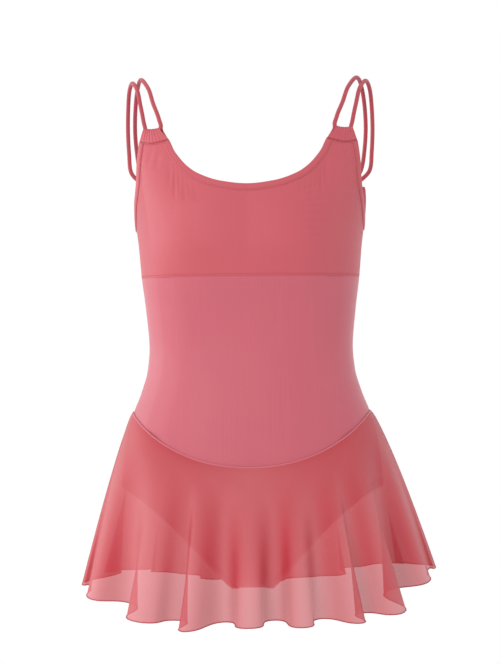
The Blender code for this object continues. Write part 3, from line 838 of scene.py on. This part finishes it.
def settled(point, along, reach=0.006):
    """The point moved along a direction until it lies on the plain body."""
    low, high = -reach, reach
    for _ in range(22):
        middle = (low + high) / 2
        if outside_body(point + along * middle) > 0:
            high = middle
        else:
            low = middle
    return point + along * (low + high) / 2


def outward(point, step=0.0006):
    axes = np.eye(3) * step
    slope = np.array([outside_body(point + a) - outside_body(point - a) for a in axes])
    return slope / np.linalg.norm(slope)


def round_leg():
    """Edge and inner line of the left leg opening, front and back, as points with normals."""
    angles = spaced(0.0, 14, 36.0) + [edge_angle(turn) for turn in spaced(12, 40, 90)]
    path = [raised(a, leg_edge(a)) for a in angles]
    path += [raised(-a, leg_edge(-a)) for a in angles[-2:0:-1]]
    path.reverse()
    places = []
    for i, edge in enumerate(path):
        normal = outward(edge)
        run = path[(i + 1) % len(path)] - path[i - 1]
        across = np.cross(normal, run / np.linalg.norm(run))
        line = settled(edge + across * BAND_WIDTH, normal)
        places.append(((edge, normal), (line, outward(line))))
    return places


def bands():
    front = mirrored_angles(spaced(54.0, 24, 60.0, 44, 90.0))
    band("neck_band_front", framed(along_edge(front, front_top)))
    back = -mirrored_angles(spaced(33.0, 60, 90.0))[::-1]
    band("neck_band_back", framed(along_edge(back, back_top)))
    rear = along_edge([-a for a in spaced(16.4, 16, 1.0)], back_top)
    fore = along_edge(spaced(1.0, 16, 22.0, 24, 32.0), front_top)
    leg = round_leg()
    for side, mirrored in (("left", False), ("right", True)):
        band(f"armhole_band_{side}", framed(rear + fore), mirrored=mirrored)
        band(f"leg_band_{side}", leg, looped=True, mirrored=mirrored)


def seam_line(name, angles, heights, out, radius, cloth):
    """A ridge of seam allowance that shows through the cloth."""
    line, outs = raised(angles, heights, out), normal_at(angles, heights)
    return tube(name, line, radius, cloth, sides=6, flat=0.6, outs=outs)


def tunnel_seams():
    """The stitched seam that joins each tunnel to the bust, a curve that dips in its middle."""
    angles = np.linspace(33.0, 53.0, 40)
    edge = front_top(angles)
    line = raised(angles, edge - TUNNEL_LAP, TUNNEL_SEAM_OUT)
    row = raised(angles, edge - TUNNEL_LAP - STITCH_OFFSET, STITCH_OUT)
    outs = normal_at(angles, edge)
    for side, way in (("left", 1), ("right", -1)):
        flip = np.array((way, 1, 1))
        tube(
            f"tunnel_seam_{side}", line * flip, TUNNEL_SEAM_RADIUS, CORD,
            sides=6, outs=outs * flip,
        )
        stitches(f"tunnel_seam_{side}_stitches", row * flip, outs * flip, THREAD)


def seams():
    tunnel_seams()
    round_front = np.linspace(0.4, 179.6, 180)
    level = bust_seam(round_front)
    seam_line("bust_seam", round_front, level, 0.0, 0.0004, THREAD)
    line = raised(round_front, level + STITCH_OFFSET, STITCH_OUT)
    outs = normal_at(round_front, level)
    stitches("bust_seam_stitches", line, outs, THREAD)
    round_back = np.linspace(180.4, 359.6, 180)
    for name, angles, slot in (
        ("hip_seam_front", round_front, "power_mesh"),
        ("hip_seam_back", round_back, "opaque_knit"),
    ):
        # The hip seam's ridge, in the lighter colour that paints a highlight on it.
        heights = hip_seam(angles) + PIPING_RISE
        seam_line(name, angles, heights, PIPING_OUT, PIPING_RADIUS, SEAM_HIGHLIGHT)
    down = np.linspace(UNDERARM_Z - 0.001, HIP_Z + 0.001, 90)
    for name, angle in (("side_seam_left", 0.0), ("side_seam_right", 180.0)):
        seam_line(name, np.full(90, angle), down, -0.0001, 0.0005, THREAD)


# The skirt


def hem_ring(per_fold):
    """Rows of angle, bulge, out, lean and hem height, once round the hem."""
    rows = []
    for i, fold in enumerate(FOLDS):
        before, after = FOLDS[i - 1], FOLDS[(i + 1) % len(FOLDS)]
        start = before.valley_angle - (360 if i == 0 else 0)
        span = fold.valley_angle - start
        for k in range(per_fold):
            p = k / per_fold
            side = before if p < 0.5 else fold
            other = before if p < 0.5 else after
            near = abs(2 * p - 1)
            end = start if p < 0.5 else fold.valley_angle
            rise = (1 - math.cos(2 * math.pi * p)) / 2
            rows.append(
                (
                    fold.crest_angle + (end - fold.crest_angle) * near,
                    FOLD_BULGE * span * math.sin(4 * math.pi * p) / (4 * math.pi),
                    fold.crest * rise - side.valley * FOLD_DEPTH * (1 - rise),
                    fold.lean * rise,
                    fold.hem_z + (other.hem_z - fold.hem_z) * near / 2 + CREST_DROP * (1 - rise),
                )
            )
    return np.array(rows)


def skirt_grid(ring, rows):
    """Points of the skirt's outer face, from the hip seam down to the hem."""
    angle, bulge, out, lean, hem_z = ring.T
    t = np.linspace(0, 1, rows + 1)[:, None]
    growth = np.maximum((t - FOLD_START) / (1 - FOLD_START), 0.0) ** FOLD_GROWTH
    top = raised(angle, hip_seam(angle) - SEAM_GAP / 2, np.full(len(angle), SEAM_GAP + SKIRT_WALL))
    at = np.radians(angle + bulge * growth)
    c, s = np.cos(at), np.sin(at)
    width, depth = np.where(c > 0, HEM_LEFT, HEM_RIGHT), np.where(s > 0, HEM_FRONT, HEM_BACK)
    hem = np.stack((width * c, -depth * s, np.zeros_like(c)), axis=-1)
    away = hem / np.linalg.norm(hem, axis=-1, keepdims=True)
    sideways = np.stack((-away[..., 1], away[..., 0], np.zeros_like(c)), axis=-1)
    share = (t**FLARE_POWER)[..., None]
    points = top * (1 - share) + hem * share
    points = points + growth[..., None] * (away * out[:, None] - sideways * lean[:, None])
    points[..., 2] = top[:, 2] + (hem_z - top[:, 2]) * t
    return points


def skirt():
    ring = hem_ring(POINTS_PER_FOLD)
    again = ring.copy()
    again[:, 0] += 360
    ring = np.concatenate((ring, again))
    made = {}
    for name, first, last in (("skirt_front", 0.0, 180.0), ("skirt_back", 180.0, 360.0)):
        within = ring[(ring[:, 0] >= first) & (ring[:, 0] <= last)].copy()
        grid = skirt_grid(within, SKIRT_ROWS)
        cloth = open_sheet(f"{name}_cloth", grid, SHEER, name)
        # Painted shade: how steep the cloth is at each point darkens the sheer mesh on the sides of
        # the folds.
        fold_shade = cloth.data.attributes.new("fold_shade", "FLOAT", "POINT")
        fold_shade.data.foreach_set("value", steepness(grid).ravel())
        hem = grid[-1] + np.array((0, 0, HEM_ROLL * 0.6))
        roll = tube(f"{name}_hem_roll", hem, HEM_ROLL, EDGE, sides=8)
        seam = tube(f"{name}_side_seam", grid[:, 0], SKIRT_SEAM, THREAD, sides=6)
        made[name] = cloth
    return made


def steepness(grid):
    """How far the cloth turns from facing outward: 0 on a crest or in a valley, 1 on a fold's side; it
    sets the painted shade of the sheer mesh.
    """
    normals = np.cross(np.gradient(grid, axis=1), np.gradient(grid, axis=0))
    flat = normals[..., :2] / np.linalg.norm(normals, axis=-1, keepdims=True)
    away = grid[..., :2] / np.linalg.norm(grid[..., :2], axis=-1, keepdims=True)
    facing = np.abs((flat * away).sum(axis=-1)) / np.maximum(np.linalg.norm(flat, axis=-1), 1e-6)
    return np.sqrt(np.clip(1 - facing**2, 0, 1))


# Straps and their tunnels


def tunnel_axis(share):
    angle = TUNNEL_ENDS[0] + (TUNNEL_ENDS[1] - TUNNEL_ENDS[0]) * share
    return angle, float(front_top(angle)) + TUNNEL_RISE


def tunnel(name, mirrored):
    """The gathered tunnel, with uneven gathers drawn together along the strap."""
    outer, inner = [], []
    stations = 96
    gathers, depths = np.array(GATHERS).T
    hole = STRAP_DIAMETER / 2 + SEAM_GAP
    for i in range(stations + 1):
        share = i / stations
        angle, z = tunnel_axis(share)
        centre, out = raised(angle, z, -KNIT_WALL / 2), normal_at(angle, z)
        ahead, behind = (raised(*tunnel_axis(share + step)) for step in (0.02, -0.02))
        up = np.cross(out, (ahead - behind) / np.linalg.norm(ahead - behind))
        up *= math.copysign(1, up[2])
        foot_angle = angle + TUNNEL_SPREAD * (2 * share - 1)
        foot = raised(foot_angle, float(front_top(foot_angle)) - TUNNEL_LAP, 0.0)
        pinch = (depths * np.exp(-(((share - gathers) / GATHER_WIDTH) ** 2))).sum()
        half = hole + TUNNEL_WALL + SEAM_GAP - GATHER_DEPTH * min(pinch, 1.0)
        row_out, row_in = [], []
        for turn in range(-90, 271, 15):
            c, s = math.cos(math.radians(turn)), math.sin(math.radians(turn))
            row_in.append(centre + (out * c + up * s) * hole)
            if s >= 0:
                row_out.append(centre + (out * c + up * s) * half)
            else:
                down = -s
                slim = TUNNEL_FOOT_HALF + (half - TUNNEL_FOOT_HALF) * (1 - down) ** 0.8
                slim -= 0.0004 * pinch * down
                side = 1 if turn < 0 else -1
                row_out.append(centre + (foot - centre) * down + out * side * slim)
        outer.append(row_out[:-1])
        inner.append(row_in[:-1])
    flip = np.array((-1 if mirrored else 1, 1, 1))
    return shell(
        f"{name}_cloth", np.array(outer) * flip, np.array(inner) * flip, OPAQUE,
        name, looped=True,
    )


def smooth_route(stops, samples):
    """A smooth line through route points."""
    stops = [np.array(s, float) for s in stops]
    padded = [2 * stops[0] - stops[1], *stops, 2 * stops[-1] - stops[-2]]
    route = []
    for a, b, c, d in zip(padded, padded[1:], padded[2:], padded[3:]):
        for k in range(samples):
            t = k / samples
            route.append(
                0.5 * (2 * b + (c - a) * t + (2 * a - 5 * b + 4 * c - d) * t**2
                       + (3 * b - a - 3 * c + d) * t**3)
            )
    return np.array(route + [stops[-1]])


def strap_route():
    """The left cord from its inner end at the back, through the tunnel, to its outer end."""
    sewn_in = -(KNIT_WALL + SEAM_GAP + STRAP_DIAMETER / 2)

    def sewn_end(angle):
        end = []
        for share in (-0.5, 0.0, 0.5, 1.0):
            z = float(back_top(angle)) - STRAP_END_DEPTH * share
            end.append(raised(angle, z, sewn_in - STRAP_END_SLANT * (1 - share)))
        return end

    shares = (0.90, 0.67, 0.33, 0.10)
    within = [raised(*tunnel_axis(share), -KNIT_WALL / 2) for share in shares]
    return [
        *reversed(sewn_end(STRAP_END_ANGLES[0])),
        *reversed(INNER_STRAND),
        *within,
        *OUTER_STRAND,
        *sewn_end(STRAP_END_ANGLES[1]),
    ]


def straps():
    made = {}
    route = smooth_route(strap_route(), 8)
    for side, mirrored in (("left", False), ("right", True)):
        flip = np.array((-1 if mirrored else 1, 1, 1))
        made[f"strap_{side}"] = tube(
            f"strap_{side}_cord", route * flip, STRAP_DIAMETER / 2, CORD, f"strap_{side}",
            sides=16,
        )
        made[f"strap_tunnel_{side}"] = tunnel(f"strap_tunnel_{side}", mirrored)
    return made


# The studio


CAMERA_DISTANCE = 2.4
VIEW_HEIGHT = 0.797
CAMERA_YAW = 1.5
CAMERA_ROLL = 0.5
CAMERA_AIM = Vector((-0.0012, 0.0, -0.306))
SENSOR = 24
Light = namedtuple("Light", "name place size power")
LIGHTS = (
    Light("key", (-1.4, -2.4, 0.4), 1.4, 24),
    Light("rim", (-1.9, 0.5, 0.0), 1.0, 14),
)
LIT_POINT = Vector((0, 0, -0.3))
FLOOR_HALF = 3.0
FLOOR_Z = -1.45


def camera():
    data = bpy.data.cameras.new("photo_camera")
    data.sensor_fit = "VERTICAL"
    data.sensor_height = SENSOR
    data.lens = SENSOR * CAMERA_DISTANCE / VIEW_HEIGHT
    obj = bpy.data.objects.new("photo_camera", data)
    bpy.context.scene.collection.objects.link(obj)
    yaw = math.radians(CAMERA_YAW)
    away = Vector((math.sin(yaw), -math.cos(yaw), 0)) * CAMERA_DISTANCE
    turn = (
        Matrix.Rotation(yaw, 4, "Z")
        @ Matrix.Rotation(math.radians(90), 4, "X")
        @ Matrix.Rotation(-math.radians(CAMERA_ROLL), 4, "Z")
    )
    obj.matrix_world = Matrix.Translation(CAMERA_AIM + away) @ turn
    bpy.context.scene.camera = obj


def soft_light(light):
    data = bpy.data.lights.new(light.name, "AREA")
    data.shape = "DISK"
    data.size, data.energy = light.size, light.power
    obj = bpy.data.objects.new(light.name, data)
    bpy.context.scene.collection.objects.link(obj)
    obj.location = light.place
    obj.rotation_euler = (LIT_POINT - Vector(light.place)).to_track_quat("-Z", "Y").to_euler()


def studio():
    world = bpy.data.worlds.new("studio")
    world.use_nodes = True
    background = world.node_tree.nodes["Background"]
    background.inputs["Color"].default_value = (1, 1, 1, 1)
    background.inputs["Strength"].default_value = 1.0
    bpy.context.scene.world = world
    bpy.context.scene.view_settings.view_transform = "Standard"
    for light in LIGHTS:
        soft_light(light)
    floor = bpy.data.meshes.new("floor")
    signs = ((-1, -1), (1, -1), (1, 1), (-1, 1))
    corners = [(x * FLOOR_HALF, y * FLOOR_HALF, FLOOR_Z) for x, y in signs]
    floor.from_pydata(corners, [], [(0, 1, 2, 3)])
    pale = bpy.data.materials.new("floor")
    pale.use_nodes = True
    shader = pale.node_tree.nodes["Principled BSDF"]
    shader.inputs["Base Color"].default_value = (0.9, 0.9, 0.9, 1)
    shader.inputs["Roughness"].default_value = 0.8
    floor.materials.append(pale)
    obj = bpy.data.objects.new("floor", floor)
    bpy.context.scene.collection.objects.link(obj)


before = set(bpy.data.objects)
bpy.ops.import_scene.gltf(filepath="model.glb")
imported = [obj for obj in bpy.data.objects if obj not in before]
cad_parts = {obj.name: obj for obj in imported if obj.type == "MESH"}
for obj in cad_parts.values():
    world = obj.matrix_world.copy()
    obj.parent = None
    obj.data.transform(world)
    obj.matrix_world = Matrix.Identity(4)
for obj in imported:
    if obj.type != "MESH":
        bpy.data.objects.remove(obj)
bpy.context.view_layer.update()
cloth = leotard()
bands()
seams()
cloth |= skirt()
cloth |= straps()
camera()
studio()
